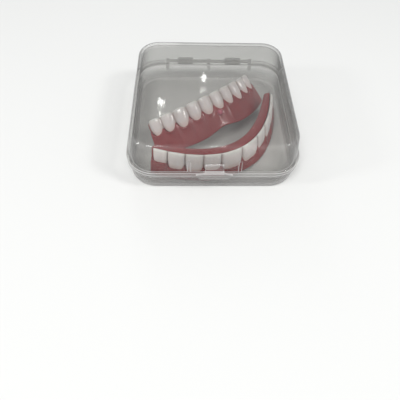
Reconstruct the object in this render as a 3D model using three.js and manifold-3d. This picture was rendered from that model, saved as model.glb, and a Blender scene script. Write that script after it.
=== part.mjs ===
// A pair of costume teeth veneers in the clear hinged box that they are kept in.
// Units are millimetres, +Z is up, the box stands on Z = 0 and its latch faces -Y.
// Each veneer is a thin red gum moulding that hooks over the wearer's own teeth,
// with a row of ten off-white crowns moulded in one piece on its front.

import * as THREE from 'three';
import { mergeVertices } from 'three/addons/utils/BufferGeometryUtils.js';
import Module from 'manifold-3d';

const wasm = await Module();
wasm.setup();

// Fit between pieces that touch
const CLEARANCE = 0.3;

// The arch of the upper veneer, which the box is made to hold, and the lower one's share of it
const ARCH_WIDTH = 64.6;
const LOWER_ARCH_SHARE = 0.876;

// Box
const BOX_ROOM = 5.2;
const BOX_WIDTH = ARCH_WIDTH + 2 * BOX_ROOM;
const BOX_HEIGHT = 24;
const BOX_CORNER_RADIUS = 12.5;
const BOX_WALL = 1.2;
const RIM_OVERHANG = 0.9;
const RIM_THICKNESS = 1.35;
const RIM_UNDERSIDE_HEIGHT = 8;
const TRAY_DRAFT = 0.3;
const LID_DRAFT = 2.2;
const TRAY_EDGE_RADIUS = 1.5;
const LID_EDGE_RADIUS = 2.4;
const CORNER_STEPS = 6;
const EDGE_STEPS = 3;
const PARTING_HEIGHT = RIM_UNDERSIDE_HEIGHT + RIM_THICKNESS + CLEARANCE / 2;

// Hinge at the back: a rod on the tray and two open clips on the lid
const HINGE_WIDTH = 46;
const HINGE_ROD_RADIUS = 0.8;
const HINGE_CLIP_WALL = 0.7;
const HINGE_CLIP_WIDTH = 8;
const HINGE_CLIP_SPACING = 25;
const HINGE_CLIP_MOUTH_ANGLE = 100;
const HINGE_EAR_WIDTH = 1.6;
const HINGE_EAR_RADIUS = 1.3;
const HINGE_EAR_NOSE_START = -60;
const HINGE_EAR_ROOT_DROP = 3.9;
const CLIP_OUTER_RADIUS = HINGE_ROD_RADIUS + CLEARANCE + HINGE_CLIP_WALL;
const HINGE_AXIS_Y = BOX_WIDTH / 2 - RIM_OVERHANG + CLIP_OUTER_RADIUS + CLEARANCE;

// Latch at the front of the lid and the two short ribs beside it
const LATCH_TAB_WIDTH = 15.8;
const LATCH_TAB_FOOT_WIDTH = 12.5;
const LATCH_TAB_HEIGHT = 4.2;
const LATCH_TAB_DEPTH = 0.7;
const LATCH_STEM_WIDTH = 8;
const LATCH_STEM_HEIGHT = 4.4;
const LATCH_STEM_DEPTH = 0.8;
const RIB_SPACING = 21;
const RIB_WIDTH = 1.7;
const RIB_HEIGHT = 6;
const RIB_DEPTH = 0.5;
const ROOT_OVERLAP = 0.6;

// Veneer moulding, the same for both
const BACKING_THICKNESS = 0.9;
const CHANNEL_WIDTH = 2.8;
const TONGUE_SIDE_THICKNESS = 0.9;
const TONGUE_SIDE_HEIGHT = 3.6;
const ROOF_THICKNESS = 0.9;
const ROOF_FALL = 1;
const FLANGE_THICKNESS = 1.3;
const GUM_END_MARGIN = 0.9;
const STEPS_PER_TOOTH = 6;
const CROWN_SIDE_THINNING = 0.45;
const CROWN_SIDE_SHARPNESS = 3;
const EDGE_NOTCH_SHARPNESS = 4;
const END_TAPER_SHARPNESS = 3;
const FRENUM_NOTCH_HALF_WIDTH = 6;
const END_LIFT_SHARPNESS = 4;
const FLANGE_WAIST_RISE = 0.45;
const FLANGE_WAIST_SHARE = 0.4;
const MARGIN_LIP_SHARE = 0.75;
const MOULDING_WIDTH = BACKING_THICKNESS + CHANNEL_WIDTH + TONGUE_SIDE_THICKNESS;

// The front of a crown, bottom to top: out as a share of its fullness, up as a share of its rise.
const CROWN_PROFILE = [
  { out: 0, up: 0.04 },
  { out: 0.55, up: 0 },
  { out: 0.85, up: 0.05 },
  { out: 1, up: 0.3 },
  { out: 0.95, up: 0.62 },
  { out: 0.72, up: 0.9 },
  { out: 0.5, up: 0.98 },
  { out: 0.3, up: 1 },
  { out: 0, up: 0.96 },
];
const CROWN_LIP_SHARE = 0.9;

// Each veneer: its arch in plan and how deep that bows as a share of its half width, its height
// from the foot of the gum to the biting edge, the lift of the foot at its ends and at the frenum,
// the flare of the foot in front of the backing, the splay (how far it leans out for each
// millimetre down), the depth and sharpness of the papillae, the depth of the notches between the
// biting edges, how far the roof lies below those edges, the share by which the moulding narrows at
// its ends, and the fullness of its fullest crown. The teeth run from the middle to the end: width
// as a share of half the arch, crown as a share of the height, fullness as a share of the fullest.
// Last comes how it lies on the box's floor: turn, lean and roll in degrees, and its room to the
// front and right walls.
const UPPER = {
  archHalfWidth: ARCH_WIDTH / 2,
  archDepthShare: 0.619,
  height: 13,
  endLift: 0,
  frenumLift: 1,
  flare: 3.4,
  splay: 0.1,
  papillaDepth: 5.4,
  papillaSharpness: 6,
  edgeNotch: 0.3,
  roofSetback: 0.3,
  endTaper: 0.4,
  crownFullness: 2,
  teeth: [
    { width: 0.244, crown: 0.692, fullness: 0.95 },
    { width: 0.195, crown: 0.631, fullness: 0.85 },
    { width: 0.2, crown: 0.662, fullness: 1 },
    { width: 0.195, crown: 0.638, fullness: 0.95 },
    { width: 0.166, crown: 0.48, fullness: 0.9 },
  ],
  turn: 32.5,
  lean: 0,
  roll: 0,
  room: { front: 1, right: 2.6 },
};
const LOWER = {
  archHalfWidth: LOWER_ARCH_SHARE * ARCH_WIDTH / 2,
  archDepthShare: 0.4,
  height: 17.4,
  endLift: 2,
  frenumLift: 1.8,
  flare: 3,
  splay: 0.06,
  papillaDepth: 5,
  papillaSharpness: 2.3,
  edgeNotch: 1.2,
  roofSetback: 1.3,
  endTaper: 0.2,
  crownFullness: 1.9,
  teeth: [
    { width: 0.193, crown: 0.471, fullness: 0.84 },
    { width: 0.197, crown: 0.471, fullness: 0.9 },
    { width: 0.213, crown: 0.494, fullness: 1 },
    { width: 0.203, crown: 0.46, fullness: 1 },
    { width: 0.194, crown: 0.437, fullness: 0.95 },
  ],
  turn: 30.3,
  lean: -42.9,
  roll: -3.9,
  room: { front: 15.6, right: 8.8 },
};
const GUM_NUB_RADIUS = 1.35;
const GUM_NUB_PROUD = 0.5;
const GUM_NUB_BESIDE_MIDDLE = 1;
const GUM_NUB_BELOW_NECK = 1.2;

const CLEAR_PLASTIC = { color: 0xb8bcb9, roughness: 0.12, metalness: 0 };
const GUM_PLASTIC = { color: 0x9c2630, roughness: 0.3, metalness: 0 };
const TOOTH_PLASTIC = { color: 0xe9e2d6, roughness: 0.25, metalness: 0 };

const degrees = THREE.MathUtils.degToRad;
const lerp = THREE.MathUtils.lerp;

function loft(rings) {
  // Joins closed rings of equal length side by side and closes both ends.
  const count = rings[0].points.length;
  const positions = rings.flatMap((ring) => ring.points.flatMap((point) => point.toArray()));
  const index = [];
  for (let ring = 0; ring < rings.length - 1; ring += 1) {
    for (let corner = 0; corner < count; corner += 1) {
      const a = ring * count + corner;
      const b = ring * count + (corner + 1) % count;
      index.push(a, b, b + count, a, b + count, a + count);
    }
  }
  const lastStart = (rings.length - 1) * count;
  for (const [a, b, c] of THREE.ShapeUtils.triangulateShape(rings[0].flat, [])) {
    index.push(c, b, a);
  }
  for (const [a, b, c] of THREE.ShapeUtils.triangulateShape(rings.at(-1).flat, [])) {
    index.push(lastStart + a, lastStart + b, lastStart + c);
  }
  const geometry = new THREE.BufferGeometry();
  geometry.setAttribute('position', new THREE.Float32BufferAttribute(positions, 3));
  geometry.setIndex(index);
  return geometry;
}

function toSolid(geometry) {
  const bare = geometry.clone();
  bare.deleteAttribute('normal');
  bare.deleteAttribute('uv');
  const merged = mergeVertices(bare);
  const mesh = new wasm.Mesh({
    numProp: 3,
    vertProperties: new Float32Array(merged.attributes.position.array),
    triVerts: new Uint32Array(merged.index.array),
  });
  return new wasm.Manifold(mesh);
}

function toGeometry(solid) {
  const mesh = solid.getMesh();
  const geometry = new THREE.BufferGeometry();
  geometry.setAttribute('position', new THREE.BufferAttribute(new Float32Array(mesh.vertProperties), 3));
  geometry.setIndex(new THREE.BufferAttribute(new Uint32Array(mesh.triVerts), 1));
  geometry.computeVertexNormals();
  return geometry;
}

function squareRing(inset, height) {
  // One level of the box: the rounded square of the rim, drawn in by an inset.
  const half = BOX_WIDTH / 2 - inset;
  const radius = BOX_CORNER_RADIUS - inset;
  const flat = [];
  for (let corner = 0; corner < 4; corner += 1) {
    const middleAngle = degrees(45 + 90 * corner);
    const centreX = Math.sign(Math.cos(middleAngle)) * (half - radius);
    const centreY = Math.sign(Math.sin(middleAngle)) * (half - radius);
    for (let step = 0; step <= CORNER_STEPS; step += 1) {
      const angle = degrees(90 * (corner + step / CORNER_STEPS));
      flat.push(new THREE.Vector2(centreX + radius * Math.cos(angle), centreY + radius * Math.sin(angle)));
    }
  }
  const points = flat.map((point) => new THREE.Vector3(point.x, point.y, height));
  return { flat, points };
}

function roundedEdge(inset, radius, level, towards) {
  // Levels of a rounded outer edge, from the upright wall to the flat face at the level.
  const rings = [];
  for (let step = 0; step <= EDGE_STEPS; step += 1) {
    const angle = degrees(90 * step / EDGE_STEPS);
    const drawnIn = inset + radius * (1 - Math.cos(angle));
    rings.push(squareRing(drawnIn, level - towards * radius * (1 - Math.sin(angle))));
  }
  return rings;
}

function trayShell() {
  const wallInset = RIM_OVERHANG;
  const footInset = RIM_OVERHANG + TRAY_DRAFT;
  const rimTop = RIM_UNDERSIDE_HEIGHT + RIM_THICKNESS;
  return loft([
    ...roundedEdge(footInset, TRAY_EDGE_RADIUS, 0, -1).reverse(),
    squareRing(wallInset, RIM_UNDERSIDE_HEIGHT),
    squareRing(0, RIM_UNDERSIDE_HEIGHT),
    squareRing(0, rimTop),
    squareRing(wallInset + BOX_WALL, rimTop),
    ...roundedEdge(footInset + BOX_WALL, TRAY_EDGE_RADIUS, BOX_WALL, -1),
  ]);
}

function lidShell() {
  const wallInset = RIM_OVERHANG;
  const crownInset = RIM_OVERHANG + LID_DRAFT;
  const rimBottom = RIM_UNDERSIDE_HEIGHT + RIM_THICKNESS + CLEARANCE;
  const innerRadius = LID_EDGE_RADIUS - BOX_WALL;
  return loft([
    ...roundedEdge(crownInset + BOX_WALL, innerRadius, BOX_HEIGHT - BOX_WALL, 1).reverse(),
    squareRing(wallInset + BOX_WALL, rimBottom),
    squareRing(0, rimBottom),
    squareRing(0, rimBottom + RIM_THICKNESS),
    squareRing(wallInset, rimBottom + RIM_THICKNESS),
    ...roundedEdge(crownInset, LID_EDGE_RADIUS, BOX_HEIGHT, 1),
  ]);
}

function slab(width, depth, height, x, y, z) {
  return toSolid(new THREE.BoxGeometry(width, depth, height).translate(x, y, z));
}

function hingeCut() {
  // The rims stop short of the hinge, so the rod and the clips lie close to the walls.
  const band = 2 * RIM_THICKNESS + CLEARANCE;
  const wallFace = BOX_WIDTH / 2 - RIM_OVERHANG;
  const depth = 2 * RIM_OVERHANG;
  return slab(HINGE_WIDTH, depth, band + CLEARANCE, 0, wallFace + depth / 2, PARTING_HEIGHT);
}

function alongX(shape, width, x) {
  // Sweeps a shape drawn in the Y-Z plane along X, centred on x.
  const geometry = new THREE.ExtrudeGeometry(shape, { depth: width, bevelEnabled: false });
  geometry.applyMatrix4(new THREE.Matrix4().makeBasis(
    new THREE.Vector3(0, 1, 0),
    new THREE.Vector3(0, 0, 1),
    new THREE.Vector3(1, 0, 0),
  ));
  return toSolid(geometry.translate(x - width / 2, 0, 0));
}

function onHingeAxis(shape, width, x) {
  return alongX(shape, width, x).translate([0, HINGE_AXIS_Y, PARTING_HEIGHT]);
}

function hingeEar(x) {
  // A rounded plate that carries the rod, rooted in the back wall of the tray.
  const reach = HINGE_AXIS_Y - BOX_WIDTH / 2 + RIM_OVERHANG + ROOT_OVERLAP;
  const shape = new THREE.Shape();
  shape.absarc(0, 0, HINGE_EAR_RADIUS, degrees(HINGE_EAR_NOSE_START), degrees(90), false);
  shape.lineTo(-CLEARANCE, HINGE_EAR_RADIUS);
  shape.lineTo(-CLEARANCE - HINGE_EAR_RADIUS / 2, -CLEARANCE);
  shape.lineTo(-reach, -CLEARANCE);
  shape.lineTo(-reach, -HINGE_EAR_ROOT_DROP);
  shape.lineTo(-reach + ROOT_OVERLAP, -HINGE_EAR_ROOT_DROP);
  return onHingeAxis(shape, HINGE_EAR_WIDTH, x);
}

function hingeRod() {
  const shape = new THREE.Shape();
  shape.absarc(0, 0, HINGE_ROD_RADIUS, 0, degrees(360), false);
  return onHingeAxis(shape, HINGE_WIDTH - 2 * CLEARANCE, 0);
}

function hingeClip(x) {
  // An open ring that snaps over the rod, with a short web to the back wall of the lid.
  const reach = HINGE_AXIS_Y - BOX_WIDTH / 2 + RIM_OVERHANG + ROOT_OVERLAP;
  const start = degrees(-90 + HINGE_CLIP_MOUTH_ANGLE / 2);
  const end = degrees(270 - HINGE_CLIP_MOUTH_ANGLE / 2);
  const ring = new THREE.Shape();
  ring.absarc(0, 0, CLIP_OUTER_RADIUS, start, end, false);
  ring.absarc(0, 0, HINGE_ROD_RADIUS + CLEARANCE, end, start, true);
  const webHeight = CLIP_OUTER_RADIUS - CLEARANCE;
  const web = new THREE.Shape();
  web.moveTo(-HINGE_ROD_RADIUS - CLEARANCE, CLEARANCE);
  web.lineTo(-HINGE_ROD_RADIUS - CLEARANCE, CLEARANCE + webHeight);
  web.lineTo(-reach, CLEARANCE + webHeight);
  web.lineTo(-reach, CLEARANCE);
  return onHingeAxis(ring, HINGE_CLIP_WIDTH, x).add(onHingeAxis(web, HINGE_CLIP_WIDTH, x));
}

function latch() {
  // The thumb tab hangs in front of both rims, under a short stem on the lid's front wall.
  const rimTop = PARTING_HEIGHT + CLEARANCE / 2 + RIM_THICKNESS;
  const tabFoot = RIM_UNDERSIDE_HEIGHT;
  const tabTop = tabFoot + LATCH_TAB_HEIGHT;
  const shape = new THREE.Shape();
  shape.moveTo(-LATCH_TAB_FOOT_WIDTH / 2, tabFoot);
  shape.lineTo(LATCH_TAB_FOOT_WIDTH / 2, tabFoot);
  shape.lineTo(LATCH_TAB_WIDTH / 2, rimTop);
  shape.lineTo(LATCH_STEM_WIDTH / 2, tabTop);
  shape.lineTo(-LATCH_STEM_WIDTH / 2, tabTop);
  shape.lineTo(-LATCH_TAB_WIDTH / 2, rimTop);
  const plate = new THREE.ExtrudeGeometry(shape, { depth: LATCH_TAB_DEPTH, bevelEnabled: false });
  const front = -BOX_WIDTH / 2;
  const tab = toSolid(plate.rotateX(degrees(90)).translate(0, front - CLEARANCE, 0));
  const rootDepth = CLEARANCE + RIM_OVERHANG + ROOT_OVERLAP;
  const rootHeight = tabTop - PARTING_HEIGHT - CLEARANCE / 2;
  const rootY = front - CLEARANCE + rootDepth / 2;
  const root = slab(LATCH_STEM_WIDTH, rootDepth, rootHeight, 0, rootY, tabTop - rootHeight / 2);
  const stem = wallPad(LATCH_STEM_WIDTH, LATCH_STEM_HEIGHT, LATCH_STEM_DEPTH, 0);
  return tab.add(root).add(stem);
}

function wallPad(width, height, proud, x) {
  // A pad that stands proud of the sloping front wall of the lid, just above its rim.
  const bottom = PARTING_HEIGHT + CLEARANCE / 2 + RIM_THICKNESS;
  const slope = LID_DRAFT / (BOX_HEIGHT - LID_EDGE_RADIUS - bottom);
  const wallFront = -BOX_WIDTH / 2 + RIM_OVERHANG;
  const shape = new THREE.Shape();
  shape.moveTo(wallFront - proud, bottom - ROOT_OVERLAP);
  shape.lineTo(wallFront - proud + slope * height, bottom + height);
  shape.lineTo(wallFront + ROOT_OVERLAP + slope * height, bottom + height);
  shape.lineTo(wallFront + ROOT_OVERLAP, bottom - ROOT_OVERLAP);
  return alongX(shape, width, x);
}

function tray() {
  let solid = toSolid(trayShell()).subtract(hingeCut()).add(hingeRod());
  const endEar = (HINGE_WIDTH - HINGE_EAR_WIDTH) / 2 - CLEARANCE;
  for (const x of [-endEar, 0, endEar]) {
    solid = solid.add(hingeEar(x));
  }
  return solid;
}

function lid() {
  let solid = toSolid(lidShell()).subtract(hingeCut()).add(latch());
  for (const side of [-1, 1]) {
    solid = solid.add(hingeClip(side * HINGE_CLIP_SPACING / 2));
    solid = solid.add(wallPad(RIB_WIDTH, RIB_HEIGHT, RIB_DEPTH, side * RIB_SPACING / 2));
  }
  return solid;
}

function archCurve(veneer) {
  // The arch in plan: a parabola from one end to the other, with its middle at the front.
  return new THREE.QuadraticBezierCurve(
    new THREE.Vector2(-veneer.archHalfWidth, 0),
    new THREE.Vector2(0, -2 * veneer.archDepthShare * veneer.archHalfWidth),
    new THREE.Vector2(veneer.archHalfWidth, 0),
  );
}

function archStations(veneer) {
  // Stops along the arch, from one end to the other: the tooth there and how far across it.
  const run = archCurve(veneer).getLength() / 2 - GUM_END_MARGIN;
  const half = [];
  let start = 0;
  for (const tooth of veneer.teeth) {
    const width = tooth.width * run;
    for (let step = 0; step < STEPS_PER_TOOTH; step += 1) {
      const share = step / STEPS_PER_TOOTH;
      half.push({ tooth, width, along: start + share * width, across: 2 * share - 1 });
    }
    start += width;
  }
  half.push({ ...half.at(-1), along: start, across: 1 });
  const mirrored = half.slice(1).reverse().map((stop) => ({ ...stop, along: -stop.along }));
  return [...mirrored, ...half];
}

function place(veneer, stop, section) {
  // Stands one section upright on the arch, leaning out by the splay.
  const arch = archCurve(veneer);
  const share = THREE.MathUtils.clamp(0.5 - stop.along / arch.getLength(), 0, 1);
  const centre = arch.getPointAt(share);
  const heading = arch.getTangentAt(share);
  return section.map(({ x: outward, y: height }) => {
    const reach = outward + veneer.splay * (veneer.height - height);
    return new THREE.Vector3(centre.x + heading.y * reach, centre.y - heading.x * reach, height);
  });
}

function crownFoot(veneer, tooth) {
  return veneer.height * (1 - tooth.crown);
}

function neckLine(veneer, stop) {
  // Height of the gum margin: lowest at the middle of a crown, highest between two.
  const middle = crownFoot(veneer, stop.tooth);
  const between = veneer.height - veneer.papillaDepth;
  return lerp(middle, between, Math.abs(stop.across) ** veneer.papillaSharpness);
}

function marginLine(veneer, stop) {
  // The gum's upper edge keeps the clearance square to the neck line, steep or level.
  const climb = veneer.height - veneer.papillaDepth - crownFoot(veneer, stop.tooth);
  const ahead = Math.min(1, Math.abs(stop.across) + 1 / STEPS_PER_TOOTH);
  const steepness = veneer.papillaSharpness * ahead ** (veneer.papillaSharpness - 1);
  const slope = 2 * climb * steepness / stop.width;
  return neckLine(veneer, stop) - CLEARANCE * Math.hypot(1, slope);
}

function footLine(veneer, stop, halfLength) {
  // Height of the gum's foot: it rises at the ends and in a soft notch at the frenum.
  const ends = veneer.endLift * (stop.along / halfLength) ** END_LIFT_SHARPNESS;
  return ends + veneer.frenumLift * Math.exp(-((stop.along / FRENUM_NOTCH_HALF_WIDTH) ** 2));
}

function crownThickness(veneer, stop, share) {
  // A crown is fullest along its middle and thins towards its neighbours.
  const thinning = CROWN_SIDE_THINNING * Math.abs(stop.across) ** CROWN_SIDE_SHARPNESS;
  return veneer.crownFullness * stop.tooth.fullness * share * (1 - thinning);
}

function crownSection(veneer, stop) {
  // Outline of the tooth row at one stop, as steps outward and up.
  const neck = neckLine(veneer, stop);
  const edge = veneer.height - veneer.edgeNotch * Math.abs(stop.across) ** EDGE_NOTCH_SHARPNESS;
  const rise = edge - neck;
  return CROWN_PROFILE.map(({ out, up }) => new THREE.Vector2(
    CLEARANCE + crownThickness(veneer, stop, out),
    neck + rise * up,
  ));
}

function gumSection(veneer, stop, halfLength) {
  // Outline of the gum moulding at one stop: flange, backing, roof and tongue side.
  const foot = footLine(veneer, stop, halfLength);
  const margin = marginLine(veneer, stop);
  const lip = CLEARANCE + crownThickness(veneer, stop, CROWN_LIP_SHARE);
  const roof = veneer.height - veneer.roofSetback;
  const round = ROOF_THICKNESS / 2;
  const innerRoof = roof - ROOF_FALL;
  const tongueFoot = innerRoof - TONGUE_SIDE_HEIGHT;
  const waist = lerp(foot, margin, FLANGE_WAIST_RISE);
  const taper = 1 - veneer.endTaper * Math.abs(stop.along / halfLength) ** END_TAPER_SHARPNESS;
  const back = -MOULDING_WIDTH * taper;
  const tongueSide = TONGUE_SIDE_THICKNESS * taper;
  return [
    new THREE.Vector2(veneer.flare - FLANGE_THICKNESS, foot + round),
    new THREE.Vector2(veneer.flare - FLANGE_THICKNESS / 2, foot),
    new THREE.Vector2(veneer.flare, foot + round),
    new THREE.Vector2(lerp(veneer.flare, lip, FLANGE_WAIST_SHARE), waist),
    new THREE.Vector2(lip + CLEARANCE, margin - round),
    new THREE.Vector2(lip * MARGIN_LIP_SHARE, margin),
    new THREE.Vector2(0, margin),
    new THREE.Vector2(0, roof - round),
    new THREE.Vector2(-round, roof),
    new THREE.Vector2(back + round, innerRoof),
    new THREE.Vector2(back, innerRoof - round),
    new THREE.Vector2(back, tongueFoot),
    new THREE.Vector2(back + tongueSide, tongueFoot),
    new THREE.Vector2(back + tongueSide, innerRoof - ROOF_THICKNESS),
    new THREE.Vector2(-BACKING_THICKNESS, roof - ROOF_THICKNESS),
    new THREE.Vector2(-BACKING_THICKNESS, crownFoot(veneer, stop.tooth)),
  ];
}

function gumNub(veneer) {
  // The small round nub on the gum, just below the necks of the two middle crowns.
  const stop = { tooth: veneer.teeth[0], along: -GUM_NUB_BESIDE_MIDDLE, across: 0 };
  const height = crownFoot(veneer, stop.tooth) - GUM_NUB_BELOW_NECK;
  const outward = crownThickness(veneer, stop, 1) + GUM_NUB_PROUD;
  const [centre] = place(veneer, stop, [new THREE.Vector2(outward, height)]);
  return toSolid(new THREE.IcosahedronGeometry(GUM_NUB_RADIUS, 1).translate(...centre.toArray()));
}

function veneerGum(veneer) {
  const stops = archStations(veneer);
  const halfLength = stops.at(-1).along + GUM_END_MARGIN;
  const first = { ...stops[0], along: -halfLength };
  const last = { ...stops.at(-1), along: halfLength };
  const rings = [first, ...stops, last].map((stop) => {
    const flat = gumSection(veneer, stop, halfLength);
    return { flat, points: place(veneer, stop, flat) };
  });
  return toSolid(loft(rings));
}

function veneerTeeth(veneer) {
  const rings = archStations(veneer).map((stop) => {
    const flat = crownSection(veneer, stop);
    return { flat, points: place(veneer, stop, flat) };
  });
  return toSolid(loft(rings));
}

function piece(name, solid, look) {
  const mesh = new THREE.Mesh(toGeometry(solid), new THREE.MeshStandardMaterial(look));
  mesh.name = name;
  return mesh;
}

function layInBox(veneer, gum, teeth) {
  // Turns a finished veneer as it lies in the box and sets it just clear of the floor.
  const laid = new THREE.Group();
  laid.add(gum, teeth);
  laid.rotation.set(degrees(veneer.lean), degrees(veneer.roll), degrees(veneer.turn), 'ZXY');
  const { min, max } = new THREE.Box3().setFromObject(laid, true);
  const wall = BOX_WIDTH / 2 - RIM_OVERHANG - BOX_WALL;
  const right = wall - veneer.room.right - max.x;
  const front = veneer.room.front - wall - min.y;
  laid.position.set(right, front, BOX_WALL + CLEARANCE - min.z);
  return laid;
}

const veneerBox = new THREE.Group();
veneerBox.name = 'costume_teeth_veneers';
veneerBox.add(
  piece('tray', tray(), CLEAR_PLASTIC),
  piece('lid', lid(), CLEAR_PLASTIC),
  layInBox(
    UPPER,
    piece('upper_gum', veneerGum(UPPER), GUM_PLASTIC),
    piece('upper_teeth', veneerTeeth(UPPER), TOOTH_PLASTIC),
  ),
  layInBox(
    LOWER,
    piece('lower_gum', veneerGum(LOWER).add(gumNub(LOWER)), GUM_PLASTIC),
    piece('lower_teeth', veneerTeeth(LOWER), TOOTH_PLASTIC),
  ),
);

export default veneerBox;
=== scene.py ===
import bpy
import numpy as np
from mathutils import Matrix, Vector


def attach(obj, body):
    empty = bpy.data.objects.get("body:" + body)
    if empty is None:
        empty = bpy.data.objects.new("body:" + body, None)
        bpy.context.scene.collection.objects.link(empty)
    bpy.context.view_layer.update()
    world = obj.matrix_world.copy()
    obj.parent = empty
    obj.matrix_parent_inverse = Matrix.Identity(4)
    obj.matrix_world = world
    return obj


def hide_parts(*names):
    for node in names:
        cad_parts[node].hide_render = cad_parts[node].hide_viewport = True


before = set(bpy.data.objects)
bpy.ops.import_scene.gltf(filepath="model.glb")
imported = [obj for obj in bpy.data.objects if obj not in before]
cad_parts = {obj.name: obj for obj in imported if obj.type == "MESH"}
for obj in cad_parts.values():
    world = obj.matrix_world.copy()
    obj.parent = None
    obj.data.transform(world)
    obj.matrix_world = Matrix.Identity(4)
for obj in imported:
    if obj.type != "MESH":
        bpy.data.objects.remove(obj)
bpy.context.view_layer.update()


# The tray is the lower half of a small keeping box, injection moulded in clear polystyrene with
# walls 1.2 mm thick. A rim runs round its mouth and stops short of the hinge at the back, where
# three ears stand out of the wall and carry the rod that the lid's clips snap over.

MM = 0.001
CLEARANCE = 0.3
BOX_WIDTH = 75
BOX_HEIGHT = 24
BOX_CORNER_RADIUS = 12.5
BOX_WALL = 1.2
RIM_OVERHANG = 0.9
RIM_THICKNESS = 1.35
RIM_UNDERSIDE_HEIGHT = 8
TRAY_FOOT_INSET = 1.2
TRAY_EDGE_RADIUS = 1.5
PARTING_HEIGHT = RIM_UNDERSIDE_HEIGHT + RIM_THICKNESS + CLEARANCE / 2
SOFT_EDGE = 0.25
CORNER_STEPS = 18
HINGE_WIDTH = 46
HINGE_ROD_RADIUS = 0.8
HINGE_CLIP_WALL = 0.7
HINGE_EAR_WIDTH = 1.6
HINGE_EAR_RADIUS = 1.3
HINGE_EAR_ROOT_DROP = 3.9
CLIP_OUTER_RADIUS = HINGE_ROD_RADIUS + CLEARANCE + HINGE_CLIP_WALL
HINGE_AXIS_Y = BOX_WIDTH / 2 - RIM_OVERHANG + CLIP_OUTER_RADIUS + CLEARANCE
ROOT_OVERLAP = 0.6
HINGE_REACH = HINGE_AXIS_Y - BOX_WIDTH / 2 + RIM_OVERHANG + ROOT_OVERLAP
SHARP_ANGLE = np.radians(40)

# From the flat underside up the outer wall, over the rim and down the inner wall to the floor, in
# millimetres: the inset from the rim's outline, the height, and how far the corner is softened.
TRAY_PROFILE = np.array([
    [4.5, 0, 0],
    [TRAY_FOOT_INSET, 0, TRAY_EDGE_RADIUS],
    [RIM_OVERHANG, RIM_UNDERSIDE_HEIGHT, SOFT_EDGE / 2],
    [0, RIM_UNDERSIDE_HEIGHT, SOFT_EDGE],
    [0, RIM_UNDERSIDE_HEIGHT + RIM_THICKNESS, SOFT_EDGE],
    [RIM_OVERHANG + BOX_WALL, RIM_UNDERSIDE_HEIGHT + RIM_THICKNESS, SOFT_EDGE],
    [TRAY_FOOT_INSET + BOX_WALL, BOX_WALL, TRAY_EDGE_RADIUS],
    [6, BOX_WALL, 0],
])


def soften(profile, steps=7):
    """Turns each inner corner of an open profile into a parabola, (1-s)^2 before + 2s(1-s) corner
    + s^2 after, whose ends lie the corner's softening away from it along its two sides."""
    point, radius = profile[:, :2], profile[1:-1, 2:]
    corner = point[1:-1]
    back = point[:-2] - corner
    ahead = point[2:] - corner
    before = corner + radius * back / np.linalg.norm(back, axis=1, keepdims=True)
    after = corner + radius * ahead / np.linalg.norm(ahead, axis=1, keepdims=True)
    s = np.linspace(0, 1, steps)[None, :, None]
    curve = (1 - s) ** 2 * before[:, None] + 2 * s * (1 - s) * corner[:, None] + s**2 * after[:, None]
    return np.vstack([point[:1], curve.reshape(-1, 2), point[-1:]])


def soften_loop(outline, radius, steps=6):
    """The same for a closed outline: every corner gets the same softening."""
    whole = np.vstack([outline[-1:], outline, outline[:1]])
    closed = np.hstack([whole, np.full((len(whole), 1), radius)])
    return soften(closed, steps)[1:-1]


def box_rings(profile):
    """Carries a profile of (inset, height) round the box: the centres of the four corner arcs stay
    where they are, and each ring's arc radius is the box's own less the inset."""
    turn = np.linspace(0, 90, CORNER_STEPS + 1)
    angle = np.radians((90 * np.arange(4)[:, None] + turn).ravel())
    quarter = np.radians(np.repeat(90 * np.arange(4) + 45, CORNER_STEPS + 1))
    side = np.sign(np.stack([np.cos(quarter), np.sin(quarter)], axis=-1))
    radius = (BOX_CORNER_RADIUS - profile[:, 0])[:, None, None]
    arc = radius * np.stack([np.cos(angle), np.sin(angle)], axis=-1)
    plan = (BOX_WIDTH / 2 - BOX_CORNER_RADIUS) * side + arc
    height = np.broadcast_to(profile[:, 1][:, None, None], plan.shape[:2] + (1,))
    return np.concatenate([plan, height], axis=2)


def skin(name, rings):
    """Makes a closed piece of rings (rings, around, 3) in millimetres: each point is joined by a
    quad to the next one round and to the same two on the next ring, and each end gets one flat
    face. Faces point out where the rings run anticlockwise about their path."""
    count, around = rings.shape[:2]
    ring, step = np.meshgrid(np.arange(count - 1), np.arange(around), indexing="ij")
    here = ring * around + step
    beside = ring * around + (step + 1) % around
    quads = np.stack([here, beside, beside + around, here + around], axis=-1).reshape(-1, 4)
    first = np.arange(around)[::-1]
    last = (count - 1) * around + np.arange(around)
    faces = quads.tolist() + [first.tolist(), last.tolist()]
    mesh = bpy.data.meshes.new(name)
    mesh.from_pydata((rings.reshape(-1, 3) * MM).tolist(), [], faces)
    piece = bpy.data.objects.new(name, mesh)
    bpy.context.scene.collection.objects.link(piece)
    return piece


def bar(outline, low, high):
    """A bar along X from low to high: two rings that repeat one outline of (y, z) points."""
    ends = np.array([low, high])[:, None, None]
    across = np.broadcast_to(ends, (2, len(outline), 1))
    section = np.broadcast_to(outline, (2,) + outline.shape)
    return skin("bar", np.concatenate([across, section], axis=2))


def centred_bar(outline, width, x):
    """The same bar, from half its width left of x to half its width right of it."""
    return bar(outline, x - width / 2, x + width / 2)


def circle(radius, start=0, end=360, steps=32):
    """Points (y, z) = radius (cos a, sin a) on an arc from one angle to another in degrees. A whole
    circle leaves out its last point, which is its first."""
    angle = np.radians(np.linspace(start, end, steps, endpoint=end - start < 360))
    return np.stack([radius * np.cos(angle), radius * np.sin(angle)], axis=-1)


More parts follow.
